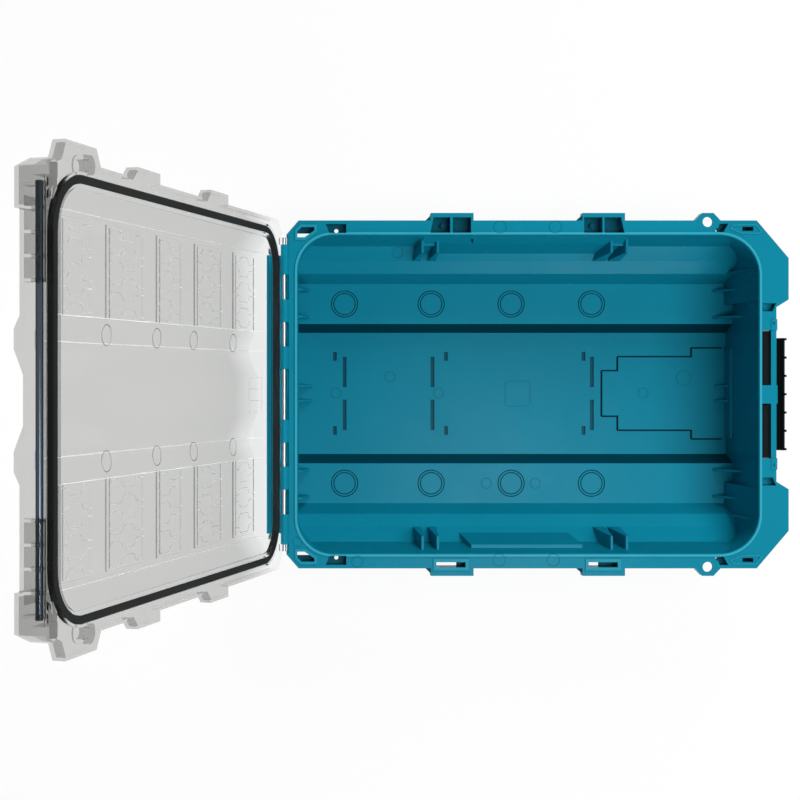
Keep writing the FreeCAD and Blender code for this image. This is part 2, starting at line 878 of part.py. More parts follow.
def sunk_marks():
    """Round double lines sunk into the benches, and short slots sunk into the floor."""
    cuts = floor_slots(tick_shares, tick_inner, tick_outer)
    cuts += floor_slots(small_tick_shares, small_tick_inner, small_tick_outer)
    low = bench_height - ring_depth
    for share in ring_shares:
        x = inside_place(share)
        for radius in (ring_radius, ring_radius - ring_gap):
            ring = post(x, ring_half, radius, low, bench_height + ring_depth)
            ring = ring.cut(post(x, ring_half, radius - ring_line, low - overrun, tub_height))
            cuts += both_sides(ring)
    return cuts


def hinge_rod_half():
    """Half the length of the hinge rod, to the outer face of the last knuckle."""
    return lid_knuckles[-1][1]


def make_tub():
    """The moulded tub, from its wall out to the flange, hinge, bosses and feet."""
    outside = tub_form(wall)
    below_top = block(-corner_front * 2, corner_front * 2, -flange_half * 2, flange_half * 2,
                      -tub_height, tub_height)
    outside = outside.common(below_top)
    raised, cuts = flange_details()
    tub = outside.fuse([flange_plate(), rim_bead()] + pad_braces() + side_ribs() + side_skins() + feet()
                       + rear_ledge() + front_fittings() + raised)
    sweep = knuckle_radius + knuckle_sweep_gap
    clear = cross_rod(hinge_x, hinge_z, sweep, -hinge_rod_half() - overrun, hinge_rod_half() + overrun)
    tub = tub.cut([clear, tub_form(0)])
    tub = tub.fuse(tub_knuckles() + inside_added())
    bore = cross_rod(hinge_x, hinge_z, hinge_rod_radius, -flange_half, flange_half)
    return tub.cut([bore] + front_cuts() + cuts + sunk_marks())


# Lid, drawn closed: r runs from the hinge line to the front, h up from the flange of the tub
crown_half = 19.0
crown_height = 19.6
bay_roof_wall = 1.5
rail_inner = 38.5
rail_outer = 53.5
rail_height = 27.5
rail_foot_half = 63.6
seal_width = 6.6
seal_gap = 0.3
seal_low = 1.6
seal_top = 7.0
seal_wall = 2.2
seal_slack = 0.3
lid_pad_shares = ((0.3008, 0.3851), (0.6073, 0.6954))
lid_pad_reach = 9.5
lid_pad_half = lid_half + lid_pad_reach
lid_pad_lead = 10.0
lid_ear_shares = (0.8276, 0.8429, 0.945, 0.958)
lid_ear_reach = 14.0
lid_ear_half = lid_half + lid_ear_reach
lid_corner_inset = 10.0
lid_corner_half = lid_half - lid_corner_inset
lid_rear_corner_inset = 13.0
lid_rear_corner_half = lid_half - lid_rear_corner_inset
lid_rear_corner_run = 12.0
bay_half = 88.0
rod_inset = 7.0
rod_r = lid_length - rod_inset
rod_h = 11.3
rod_side_inset = 20.0
rod_half = lid_half - rod_side_inset
rod_rib_shares = (0.545, 0.655, 0.764, 0.873, 0.982)
rod_rib_wall = 2.4
front_block_depth = 16.0
panel_shares = ((0.0651, 0.1743), (0.2433, 0.3659), (0.433, 0.5326), (0.5939, 0.728), (0.7874, 0.887))
panel_inset = 3.0
panel_outer = dome_half - panel_inset
panel_rise = 1.5
corner_cap_height = 27.0
corner_cap_inner_inset = 41.0
corner_cap_inner = lid_half - corner_cap_inner_inset
corner_cap_outer_inset = 0.6
corner_cap_outer = lid_half - corner_cap_outer_inset
corner_cap_run = 42.0
padlock_boss_radius = 9.0


def r_x(distance):
    """The place along the box of a distance from the hinge line, with the lid closed."""
    return hinge_x + distance


def h_z(height):
    """The height above the ground of a height above the flange, with the lid closed."""
    return tub_height + height


def lid_outline(inset):
    """The lid's outline in plan, drawn in by an inset."""
    side = lid_half - inset
    front = r_x(lid_length + lid_rear_gap - inset)
    half_loop = [
        (r_x(lid_rear_gap + inset), lid_rear_corner_half - inset),
        (r_x(lid_rear_gap + lid_rear_corner_run + inset / 2), side),
    ]
    pads = [(r_x(lid_length * low), r_x(lid_length * high)) for low, high in lid_pad_shares]
    half_loop += edge_with_pads(side, lid_pad_half - inset, pads, lid_pad_lead)
    ear_start, ear_low, ear_high, ear_end = [lid_length * share for share in lid_ear_shares]
    half_loop += [
        (r_x(ear_start), side),
        (r_x(ear_low), lid_ear_half - inset),
        (r_x(ear_high), lid_ear_half - inset),
        (r_x(ear_end), side),
        (front, lid_corner_half - inset / 2),
    ]
    return half_loop + [(x, -y) for x, y in reversed(half_loop)]


def roof_profile(drop):
    """The lid's cross-section of y and z, lowered and drawn in by a wall."""
    return [
        (dome_foot_half - drop, h_z(lid_flange_height - drop)),
        (dome_half - drop, h_z(dome_height - drop)),
        (rail_foot_half, h_z(dome_height - drop)),
        (rail_outer - drop / 2, h_z(rail_height - drop)),
        (rail_inner + drop / 2, h_z(rail_height - drop)),
        (crown_half, h_z(crown_height - drop)),
    ]


def seal_center(offset, z_low, z_high):
    """A solid in plan whose edge runs an offset outside the middle of the seal."""
    middle = rim_inset + rim_width / 2
    grow = middle + offset
    return rounded_plan(-opening_rear - grow, opening_front + grow, opening_half + grow,
                        opening_radius_rear + grow, opening_radius_front + grow, z_low, z_high)


def seal_ring(inner, outer, z_low, z_high):
    """A band that follows the seal, between two offsets from its middle."""
    ring = seal_center(outer, z_low, z_high)
    return ring.cut(seal_center(inner, z_low - overrun, z_high + overrun))


def dome_body(inset, drop, base):
    """The raised dome: the roof's cross-section with sloping ends, drawn in by an inset."""
    low = r_x(lid_rear_gap + inset + inset)
    rear_foot = r_x(lid_rear_gap + lid_flange_height + inset)
    high = r_x(lid_length + lid_rear_gap - inset)
    points = roof_profile(drop)
    top = h_z(rail_height)
    loop = [(dome_foot_half - drop, base)] + points
    bar = length_prism(both_half(loop), low, high)
    ends = side_prism([
        (rear_foot, base),
        (rear_foot, h_z(lid_flange_height - drop)),
        (rear_foot + dome_run, h_z(dome_height - drop)),
        (rear_foot + dome_run, top),
        (high, top),
        (high, base),
    ], -lid_half, lid_half)
    return bar.common(ends)


def storage_space():
    """The hollow over the tub: inside the seal, up to the roof."""
    inner = -(seal_width / 2 + seal_gap + seal_wall)
    plan = seal_center(inner, h_z(0) - overrun, h_z(rail_height))
    half = opening_half + inner
    points = roof_profile(lid_wall)[1:]
    loop = [(half, h_z(0) - overrun), (half, h_z(seal_top))] + points
    rear = r_x(0) + (flange_rear + hinge_offset - opening_rear) - inner
    front = opening_front + inner
    bar = length_prism(both_half(loop), rear, front)
    ends = side_prism([
        (rear, h_z(0) - overrun),
        (rear, h_z(seal_top)),
        (rear + dome_run, h_z(dome_height - lid_wall)),
        (rear + dome_run, h_z(rail_height)),
        (front, h_z(rail_height)),
        (front, h_z(0) - overrun),
    ], -lid_half, lid_half)
    return bar.common(plan).common(ends)


def rod_space():
    """The hollow in the front of the lid for the strike rod, open in front in the latch bay."""
    front = r_x(lid_length + lid_rear_gap)
    seal_front = opening_front + rim_inset + rim_width / 2 + seal_width / 2
    rear = opening_front - seal_width / 2 - seal_gap - seal_wall + lid_wall
    floor = h_z(seal_top + rim_height)
    under = h_z(0) - overrun
    high = h_z(dome_height - lid_wall)
    side = dome_foot_half - lid_wall
    room = block(rear, front - lid_wall, bay_half, side, floor, high)
    down = block(seal_front + seal_wall, front - lid_wall, bay_half, side, under, floor)
    bay = block(rear, front + overrun, -bay_half, bay_half, floor, h_z(crown_height - bay_roof_wall))
    mouth = block(seal_front - seal_gap, front + overrun, -bay_half, bay_half, under, floor)
    return both_sides(room) + both_sides(down) + [bay, mouth]


def rod_carriers():
    """Thin ribs across the front hollow that carry the strike rod."""
    front = r_x(lid_length + lid_rear_gap)
    rear = opening_front + rim_inset + rim_width / 2 + seal_width / 2
    ribs = []
    for share in rod_rib_shares:
        y = rod_half * share
        rib = block(rear, front - lid_wall / 2, y - rod_rib_wall / 2, y + rod_rib_wall / 2,
                    h_z(seal_top), h_z(dome_height - lid_wall / 2))
        ribs += both_sides(rib)
    return ribs


def lid_knuckle_bodies():
    """The lid's hinge knuckles with webs to its rear wall."""
    pieces = []
    for y_low, y_high in lid_knuckles:
        barrel = cross_rod(hinge_x, hinge_z, knuckle_radius, y_low, y_high)
        web = block(hinge_x, r_x(lid_rear_gap + lid_wall), y_low, y_high, h_z(lid_gap),
                    hinge_z + knuckle_radius)
        piece = barrel.fuse(web)
        pieces.append(piece)
        if y_low > 0:
            pieces.append(mirrored(piece))
    return pieces


def corner_caps():
    """Raised stacking pads on the two front corners."""
    front = r_x(lid_length + lid_rear_gap)
    cap = block(front - corner_cap_run, front, corner_cap_inner, corner_cap_outer,
                h_z(lid_flange_height), h_z(corner_cap_height))
    hollow = block(front - corner_cap_run + lid_wall, front - lid_wall, corner_cap_inner + lid_wall,
                   corner_cap_outer - lid_wall, h_z(lid_flange_height), h_z(corner_cap_height - lid_wall))
    return both_sides(cap.cut(hollow))


def side_panels(z_low, z_high, inset):
    """The raised panels in the roof, or their hollows, on both sides."""
    pieces = []
    for low, high in panel_shares:
        panel = block(r_x(lid_length * low + inset), r_x(lid_length * high - inset),
                      rail_foot_half + lid_wall, panel_outer - inset, z_low, z_high)
        pieces += both_sides(panel)
    return pieces


def make_lid():
    """The clear lid, built closed: flange, dome, seal groove, rod housing and knuckles."""
    base = h_z(lid_gap)
    outline = lid_outline(0)
    flange = plan_prism(outline, base, h_z(lid_flange_height))
    front = r_x(lid_length + lid_rear_gap)
    envelope = plan_prism(outline, base, h_z(rail_height) + overrun)
    dome = dome_body(0, 0, base).common(envelope)
    caps = [cap.common(envelope) for cap in corner_caps()]
    panels = side_panels(h_z(dome_height - lid_wall / 2), h_z(dome_height + panel_rise), 0)
    hole_x = flange_x(padlock_hole_share)
    boss = post(hole_x, padlock_hole_half, padlock_boss_radius, base, h_z(lid_flange_height + panel_rise))
    lid = flange.fuse([dome] + caps + panels + both_sides(boss))
    corners = [V(x, y, h_z(-overrun)) for x, y in outline]
    inner = Part.Face(Part.makePolygon(corners + corners[:1]).makeOffset2D(-lid_wall, 2))
    pocket = inner.extrude(V(0, 0, lid_flange_height - lid_wall + overrun))
    band = seal_width / 2 + seal_gap + seal_wall
    pocket = pocket.cut(seal_center(band, h_z(-overrun), h_z(lid_flange_height)))
    pocket = pocket.cut(block(r_x(lid_length - front_block_depth), front + overrun, -lid_half, lid_half,
                              h_z(-overrun), h_z(lid_flange_height)))
    pocket = pocket.cut([solid.common(pocket) for solid in both_sides(
        post(hole_x, padlock_hole_half, padlock_boss_radius, h_z(-overrun), h_z(lid_flange_height)))])
    pocket = pocket.cut(block(hinge_x, r_x(lid_rear_gap + lid_wall + knuckle_radius), -lid_half, lid_half,
                              h_z(-overrun), h_z(lid_flange_height)))
    groove = seal_ring(-seal_width / 2 - seal_slack, seal_width / 2 + seal_slack, h_z(-overrun),
                       h_z(seal_top))
    hollows = side_panels(h_z(dome_height - lid_wall - overrun), h_z(dome_height + panel_rise - lid_wall),
                          lid_wall)
    lid = lid.cut([storage_space(), pocket, groove] + rod_space() + hollows)
    lid = lid.fuse(rod_carriers())
    sweep = knuckle_radius + knuckle_sweep_gap
    gaps = [cross_rod(hinge_x, hinge_z, sweep, low - knuckle_side_gap, high + knuckle_side_gap)
            for low, high in knuckle_gaps()]
    lid = lid.cut(sum([both_sides(gap) for gap in gaps], []))
    lid = lid.fuse(lid_knuckle_bodies())
    hinge_bore = cross_rod(hinge_x, hinge_z, hinge_rod_radius + running_gap, -lid_half, lid_half)
    rod_bore = cross_rod(r_x(rod_r), h_z(rod_h), strike_rod_radius, -rod_half, rod_half)
    holes = both_sides(post(hole_x, padlock_hole_half, padlock_hole_radius, h_z(-overrun), h_z(rail_height)))
    return lid.cut([hinge_bore, rod_bore] + holes)


def make_gasket():
    """The foam seal in the lid's groove."""
    return seal_ring(-seal_width / 2, seal_width / 2, h_z(seal_low), h_z(seal_top))


def make_strike_rod():
    """The bright rod across the lid's front that the latch hooks over."""
    return cross_rod(r_x(rod_r), h_z(rod_h), strike_rod_radius, -rod_half, rod_half)


def opened(shape):
    """A lid piece turned from closed to its open rest pose."""
    turned = shape.copy()
    turned.rotate(V(hinge_x, 0, hinge_z), V(0, 1, 0), -lid_open_angle)
    return turned


# Latch, drawn closed round its own axle
latch_turn = 165.0
hub_radius = 5.4
hub_inner = 11.0
hub_outer = latch_bay_half - side_gap
latch_plate_near = 4.5
latch_plate_wall = 3.4
latch_reach = 43.0
finger_wall = 2.2
finger_gap = 0.35
finger_start_angle = 78.0
finger_end_angle = 124.0
ridge_end_angle = 129.0
latch_rib_pitch = 19.8
latch_rib_wall = 2.4
lip_reach = 5.0
heel_reach = 10.0
heel_rise = 4.6
heel_drop = 4.0


def rod_from_axle():
    """How far the strike rod's centre lies from the latch axle, with the lid closed."""
    across = r_x(rod_r) - latch_x
    up = h_z(rod_h) - latch_z
    return sqrt(across * across + up * up)


def latch_band(inner, outer, y_low, y_high, low_angle, high_angle):
    """Part of a ring round the latch axle, between two angles."""
    ring = cross_rod(latch_x, latch_z, outer, y_low, y_high)
    ring = ring.cut(cross_rod(latch_x, latch_z, inner, y_low - overrun, y_high + overrun))
    reach = outer + overrun
    ends = [(latch_x + reach * cos(radians(a)), latch_z + reach * sin(radians(a)))
            for a in (high_angle, (high_angle + low_angle) / 2, low_angle)]
    return ring.common(side_prism([(latch_x, latch_z)] + ends, y_low, y_high))


def latch_ridges(inner, outer, near):
    """The cross ribs that brace the finger, each ending in a short ridge past its tip."""
    pieces = []
    count = round(latch_half / latch_rib_pitch)
    for step in range(-count, count + 1):
        y = step * latch_rib_pitch
        y = min(max(y, latch_rib_wall / 2 - latch_half), latch_half - latch_rib_wall / 2)
        low = y - latch_rib_wall / 2
        high = y + latch_rib_wall / 2
        rib = side_prism([
            (near + latch_plate_wall / 2, latch_z + hub_radius + flange_thickness),
            (near - latch_plate_near, latch_z + inner / 2),
            (near - latch_plate_near, latch_z + inner),
            (near + latch_plate_wall / 2, latch_z + inner),
        ], low, high)
        pieces += [rib, latch_band(inner, outer, low, high, finger_start_angle, ridge_end_angle)]
    return pieces


def make_latch():
    """The swing latch: hubs on the axle, a plate, a heel, ribs and a curved finger over the strike rod."""
    near = latch_x + latch_plate_near
    far = near + latch_plate_wall
    plate = block(near, far, -latch_half, latch_half, latch_z - latch_plate_near, latch_z + latch_reach)
    lip = block(near, far + lip_reach, -latch_half, latch_half, latch_z + latch_reach - latch_plate_wall,
                latch_z + latch_reach)
    hub = cross_rod(latch_x, latch_z, hub_radius, hub_inner, hub_outer)
    inner = rod_from_axle() + strike_rod_radius + finger_gap
    outer = inner + finger_wall
    finger = latch_band(inner, outer, -latch_half, latch_half, finger_start_angle, finger_end_angle)
    room = block(slot_rear, far + overrun, -hub_inner, hub_inner, latch_z - hub_radius * 2,
                 latch_z + hub_radius * 2)
    latch = plate.fuse([lip, finger] + both_sides(hub) + latch_ridges(inner, outer, near)).cut(room)
    latch.rotate(V(latch_x, 0, latch_z), V(0, 1, 0), latch_turn)
    heel = side_prism([
        (latch_x, latch_z + heel_rise),
        (latch_x - heel_reach, latch_z + heel_rise),
        (latch_x - heel_reach, latch_z - heel_drop),
        (latch_x, latch_z - heel_drop),
    ], hub_inner, hub_outer)
    bore = cross_rod(latch_x, latch_z, latch_axle_radius + running_gap, -hub_outer, hub_outer)
    return latch.fuse(both_sides(heel)).cut(bore)


def make_latch_axle():
    """The steel axle through the bosses and the latch hubs."""
    return cross_rod(latch_x, latch_z, latch_axle_radius, -latch_axle_half, latch_axle_half)


# Carry handle, folded down
arm_width = 12.0
arm_inner = handle_half - arm_width
arm_rear = 243.0
arm_front = 257.0
grip_low = 8.0
grip_high = 24.0
grip_rear = 243.5
grip_front = 263.0
grip_edge = 5.0
sleeve_wall = 1.6
sleeve_inset = 28.0
sleeve_half = handle_half - sleeve_inset
handle_eye_radius = 7.5
pin_head_radius = 5.0
pin_head_depth = 2.0


def grip_bar(growth, half):
    """The rounded bar of the handle, grown by a sleeve's wall."""
    bar = block(grip_rear - growth, grip_front + growth, -half, half, grip_low - growth, grip_high + growth)
    edges = [edge for edge in bar.Edges if abs(edge.tangentAt(edge.FirstParameter).y) > QUARTER]
    return bar.makeFillet(grip_edge, edges)


def make_handle():
    """The moulded carry handle: two arms with eyes, joined by a bar."""
    middle = (arm_inner + handle_half) / 2
    core = grip_bar(0, handle_half)
    arm = block(arm_rear, arm_front, arm_inner, handle_half, grip_low + grip_edge, handle_z)
    eye = cross_rod(handle_x, handle_z, handle_eye_radius, arm_inner, handle_half)
    gusset = side_prism([
        (arm_rear, grip_high),
        (arm_front, grip_high),
        (arm_front, grip_high + grip_edge),
        (arm_rear, grip_high + grip_edge),
    ], middle - (handle_half - arm_inner), handle_half)
    handle = core.fuse(both_sides(arm) + both_sides(eye) + both_sides(gusset))
    bore = cross_rod(handle_x, handle_z, handle_pin_radius + running_gap, -handle_half - overrun,
                     handle_half + overrun)
    seat = grip_bar(overrun, sleeve_half).cut(grip_bar(-sleeve_wall, sleeve_half + overrun))
    return handle.cut([bore, seat])


def make_grip_sleeve():
    """The soft sleeve moulded round the middle of the handle's bar."""
    return grip_bar(0, sleeve_half).cut(grip_bar(-sleeve_wall, sleeve_half + overrun))


def make_handle_pins():
    """The two headed pins that hold the handle's eyes to the bosses."""
    shank = cross_rod(handle_x, handle_z, handle_pin_radius, arm_inner, handle_boss_outer)
    head = cross_rod(handle_x, handle_z, pin_head_radius, handle_boss_outer,
                     handle_boss_outer + pin_head_depth)
    return Part.makeCompound(both_sides(shank.fuse(head)))


def make_hinge_rod():
    """The long steel rod of the hinge."""
    return cross_rod(hinge_x, hinge_z, hinge_rod_radius, -hinge_rod_half(), hinge_rod_half())


def main():
    os.makedirs("parts", exist_ok=True)
    save("base_tub", make_tub())
    save("hinge_rod", make_hinge_rod())
    save("latch_axle", make_latch_axle())
    save("swing_latch", make_latch())
    save("carry_handle", make_handle())
    save("grip_sleeve", make_grip_sleeve())
    save("handle_pins", make_handle_pins())
    save("clear_lid", opened(make_lid()))
    save("lid_gasket", opened(make_gasket()))
    save("strike_rod", opened(make_strike_rod()))


main()
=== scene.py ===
"""Looks of the tool organizer box, laid over its packed construction.

Lengths are in metres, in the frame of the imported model: +X towards the latch, +Z up, lid open.
"""

import json
from math import cos, radians, sin

import bpy
import numpy as np
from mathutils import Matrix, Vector


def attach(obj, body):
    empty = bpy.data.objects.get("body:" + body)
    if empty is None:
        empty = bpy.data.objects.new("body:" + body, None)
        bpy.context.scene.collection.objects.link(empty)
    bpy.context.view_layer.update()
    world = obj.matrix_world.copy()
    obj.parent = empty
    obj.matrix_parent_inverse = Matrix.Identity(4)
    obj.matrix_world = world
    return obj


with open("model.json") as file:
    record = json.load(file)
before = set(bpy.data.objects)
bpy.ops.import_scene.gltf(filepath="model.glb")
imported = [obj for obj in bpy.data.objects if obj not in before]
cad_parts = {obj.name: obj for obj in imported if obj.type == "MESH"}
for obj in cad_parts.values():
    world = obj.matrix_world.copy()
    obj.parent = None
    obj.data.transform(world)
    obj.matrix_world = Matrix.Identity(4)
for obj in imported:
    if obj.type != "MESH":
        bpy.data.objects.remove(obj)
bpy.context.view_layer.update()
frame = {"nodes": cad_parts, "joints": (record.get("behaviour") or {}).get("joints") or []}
nodes = frame["nodes"]


# Base tub: one large injection moulding in teal polypropylene with a fine spark-eroded grain.
# Its faces are satin, a little uneven in gloss where the melt flowed, and its edges are soft.
# The steep inward walls of the deep channel and the floors of slots, cups and bench grooves are painted
# darker as shade, and the crest of the sealing bead is painted lighter as a highlight.
TEAL = (0.003, 0.205, 0.305, 1.0)
# Painted shade: the dark teal laid where shade falls in the channel, slots, cups and grooves.
TEAL_PAINTED_SHADE = (0.0005, 0.045, 0.07, 1.0)
# Painted highlight: the light teal laid on the crest of the sealing bead.
TEAL_PAINTED_HIGHLIGHT = (0.03, 0.34, 0.46, 1.0)
GRAIN_DEPTH = 0.0002
SHADE_SCALE = 7.0
GLOSS_SCALE = 23.0


def moulded_surface_group():
    """Grain, uneven gloss and soft edges of a moulding.

    Grain is fine noise, raised as a bump. Gloss and shade follow two slower noises, each spread about
    its middle.
    """
    group = bpy.data.node_groups.new("moulded_surface", "ShaderNodeTree")
    sockets = (
        ("Place", "NodeSocketVector"),
        ("Colour", "NodeSocketColor"),
        ("Shade Spread", "NodeSocketFloat"),
        ("Gloss Middle", "NodeSocketFloat"),
        ("Gloss Spread", "NodeSocketFloat"),
        ("Grain Scale", "NodeSocketFloat"),
        ("Grain Strength", "NodeSocketFloat"),
        ("Edge Radius", "NodeSocketFloat"),
    )
    for name, kind in sockets:
        group.interface.new_socket(name, in_out="INPUT", socket_type=kind)
    results = (
        ("Colour", "NodeSocketColor"),
        ("Roughness", "NodeSocketFloat"),
        ("Normal", "NodeSocketVector"),
    )
    for name, kind in results:
        group.interface.new_socket(name, in_out="OUTPUT", socket_type=kind)
    build, link = group.nodes.new, group.links.new
    given = build("NodeGroupInput")
    result = build("NodeGroupOutput")

    grain = build("ShaderNodeTexNoise")
    grain.inputs["Detail"].default_value = 2.0
    link(given.outputs["Place"], grain.inputs["Vector"])
    link(given.outputs["Grain Scale"], grain.inputs["Scale"])
    edge = build("ShaderNodeBevel")
    edge.samples = 6
    link(given.outputs["Edge Radius"], edge.inputs["Radius"])
    bump = build("ShaderNodeBump")
    bump.inputs["Distance"].default_value = GRAIN_DEPTH
    link(given.outputs["Grain Strength"], bump.inputs["Strength"])
    link(grain.outputs["Fac"], bump.inputs["Height"])
    link(edge.outputs["Normal"], bump.inputs["Normal"])
    link(bump.outputs["Normal"], result.inputs["Normal"])

    slow_noises = (
        (SHADE_SCALE, "Shade Spread", None),
        (GLOSS_SCALE, "Gloss Spread", "Gloss Middle"),
    )
    for scale, spread, middle in slow_noises:
        slow = build("ShaderNodeTexNoise")
        slow.inputs["Scale"].default_value = scale
        slow.inputs["Detail"].default_value = 3.0
        link(given.outputs["Place"], slow.inputs["Vector"])
        centred = build("ShaderNodeMath")
        centred.operation = "SUBTRACT"
        centred.inputs[1].default_value = 0.5
        link(slow.outputs["Fac"], centred.inputs[0])
        scaled = build("ShaderNodeMath")
        scaled.operation = "MULTIPLY_ADD"
        link(centred.outputs[0], scaled.inputs[0])
        link(given.outputs[spread], scaled.inputs[1])
        if middle:
            link(given.outputs[middle], scaled.inputs[2])
            link(scaled.outputs[0], result.inputs["Roughness"])
        else:
            scaled.inputs[2].default_value = 1.0
            shade = build("ShaderNodeHueSaturation")
            link(scaled.outputs[0], shade.inputs["Value"])
            link(given.outputs["Colour"], shade.inputs["Color"])
            link(shade.outputs["Color"], result.inputs["Colour"])
    return group


moulded_surface = moulded_surface_group()


def moulded_material(name, colour, shade_spread, gloss_middle, gloss_spread, grain_scale, grain_strength,
                     edge, shine):
    """A material whose colour, gloss and grain come from the moulded surface. Shine is its specular level."""
    material = bpy.data.materials.new(name)
    material.use_nodes = True
    tree = material.node_tree
    shader = tree.nodes["Principled BSDF"]
    place = tree.nodes.new("ShaderNodeTexCoord")
    surface = tree.nodes.new("ShaderNodeGroup")
    surface.node_tree = moulded_surface
    tree.links.new(place.outputs["Object"], surface.inputs["Place"])
    surface.inputs["Colour"].default_value = colour
    shader.inputs["Specular IOR Level"].default_value = shine
    values = (shade_spread, gloss_middle, gloss_spread, grain_scale, grain_strength, edge)
    for socket, value in zip(surface.inputs[2:], values):
        socket.default_value = value
    tree.links.new(surface.outputs["Colour"], shader.inputs["Base Color"])
    tree.links.new(surface.outputs["Roughness"], shader.inputs["Roughness"])
    tree.links.new(surface.outputs["Normal"], shader.inputs["Normal"])
    return material


def dress(node, material):
    """Give a construction node its finish."""
    for place in nodes[node].material_slots:
        place.material = material


LEVEL_FROM_TO = (0.4, 0.6)
STEEP_FROM_TO = (0.6, 0.45)
CHANNEL_FROM_TO = (0.0305, 0.029)
INWARD_FROM_TO = (-0.03, -0.05)
SLOT_FROM_TO = (0.0026, 0.0023)
SLOT_MOST = 0.85
CUP_TOP_FROM_TO = (0.1222, 0.1216)
CUP_LOW_FROM_TO = (0.1, 0.102)
CUP_OUT_FROM_TO = (0.171, 0.1715)
CUP_MOST = 0.75
GROOVE_TOP_FROM_TO = (0.0298, 0.0295)
GROOVE_LOW_FROM_TO = (0.028, 0.0283)
CREST_FROM_TO = (0.1257, 0.1262)
CREST_REAR_FROM_TO = (-0.263, -0.2622)
CREST_FRONT_FROM_TO = (0.2413, 0.2405)


def painted_light_group():
    """The tub's colour by place and by the way that a face is turned, with painted shade and a painted
    highlight.

    Each mask rises from nothing to its most between two limits. Steep faces of the deep channel that look
    inwards, and level faces in the slots, cups and bench grooves, take the painted shade where shade falls;
    the crest of the bead takes the painted highlight.
    """
    group = bpy.data.node_groups.new("painted_shade_and_highlight", "ShaderNodeTree")
    for name in ("Place", "Facing"):
        group.interface.new_socket(name, in_out="INPUT", socket_type="NodeSocketVector")
    for name in ("Plain", "Painted Shade", "Raised"):
        group.interface.new_socket(name, in_out="INPUT", socket_type="NodeSocketColor")
    group.interface.new_socket("Colour", in_out="OUTPUT", socket_type="NodeSocketColor")
    build, link = group.nodes.new, group.links.new
    given = build("NodeGroupInput")
    result = build("NodeGroupOutput")
    place = build("ShaderNodeSeparateXYZ")
    facing = build("ShaderNodeSeparateXYZ")
    link(given.outputs["Place"], place.inputs[0])
    link(given.outputs["Facing"], facing.inputs[0])
    outward = build("ShaderNodeMath")
    outward.operation = "ABSOLUTE"
    link(place.outputs["Y"], outward.inputs[0])

    def ramp(socket, limits, most=1.0):
        """Nothing at the first limit, the most at the second."""
        node = build("ShaderNodeMapRange")
        node.inputs["To Max"].default_value = most
        node.inputs["From Min"].default_value, node.inputs["From Max"].default_value = limits
        link(socket, node.inputs["Value"])
        return node.outputs["Result"]

    def times(first, *others):
        """The product of the masks."""
        for other in others:
            node = build("ShaderNodeMath")
            node.operation = "MULTIPLY"
            link(first, node.inputs[0])
            link(other, node.inputs[1])
            first = node.outputs[0]
        return first

    level = ramp(facing.outputs["Z"], LEVEL_FROM_TO)
    channel = times(
        ramp(facing.outputs["Z"], STEEP_FROM_TO),
        ramp(place.outputs["Z"], CHANNEL_FROM_TO),
        ramp(times(place.outputs["Y"], facing.outputs["Y"]), INWARD_FROM_TO),
    )
    slots = times(level, ramp(place.outputs["Z"], SLOT_FROM_TO, SLOT_MOST))
    cups = times(
        level,
        ramp(place.outputs["Z"], CUP_TOP_FROM_TO),
        ramp(place.outputs["Z"], CUP_LOW_FROM_TO, CUP_MOST),
        ramp(outward.outputs[0], CUP_OUT_FROM_TO),
    )
    grooves = times(
        level,
        ramp(place.outputs["Z"], GROOVE_TOP_FROM_TO),
        ramp(place.outputs["Z"], GROOVE_LOW_FROM_TO),
    )
    crest = times(
        ramp(place.outputs["Z"], CREST_FROM_TO),
        ramp(place.outputs["X"], CREST_REAR_FROM_TO),
        ramp(place.outputs["X"], CREST_FRONT_FROM_TO),
    )
    # Painted shade in the channel, slots, cups and grooves, and a painted highlight on the bead's crest.
    colour = given.outputs["Plain"]
    for mask in (channel, slots, cups, grooves, crest):
        mix = build("ShaderNodeMix")
        mix.data_type = "RGBA"
        link(mask, mix.inputs["Factor"])
        link(colour, mix.inputs[6])
        link(given.outputs["Raised" if mask == crest else "Painted Shade"], mix.inputs[7])
        colour = mix.outputs[2]
    link(colour, result.inputs["Colour"])
    return group


teal_plastic = moulded_material(
    "teal_polypropylene", TEAL, shade_spread=0.2, gloss_middle=0.25, gloss_spread=0.16,
    grain_scale=1400.0, grain_strength=0.25, edge=0.0007, shine=0.045,
)
tree = teal_plastic.node_tree
# The tub's colour takes painted shade where shade falls and a painted highlight on the bead's crest.
finish = tree.nodes.new("ShaderNodeGroup")
finish.node_tree = painted_light_group()
place = next(node for node in tree.nodes if node.type == "TEX_COORD")
tree.links.new(place.outputs["Object"], finish.inputs["Place"])
tree.links.new(place.outputs["Normal"], finish.inputs["Facing"])
for socket, colour in (("Plain", TEAL), ("Painted Shade", TEAL_PAINTED_SHADE), ("Raised", TEAL_PAINTED_HIGHLIGHT)):
    finish.inputs[socket].default_value = colour
surface = next(node for node in tree.nodes if node.type == "GROUP" and node.node_tree == moulded_surface)
tree.links.new(finish.outputs["Colour"], surface.inputs["Colour"])
dress("base_tub", teal_plastic)
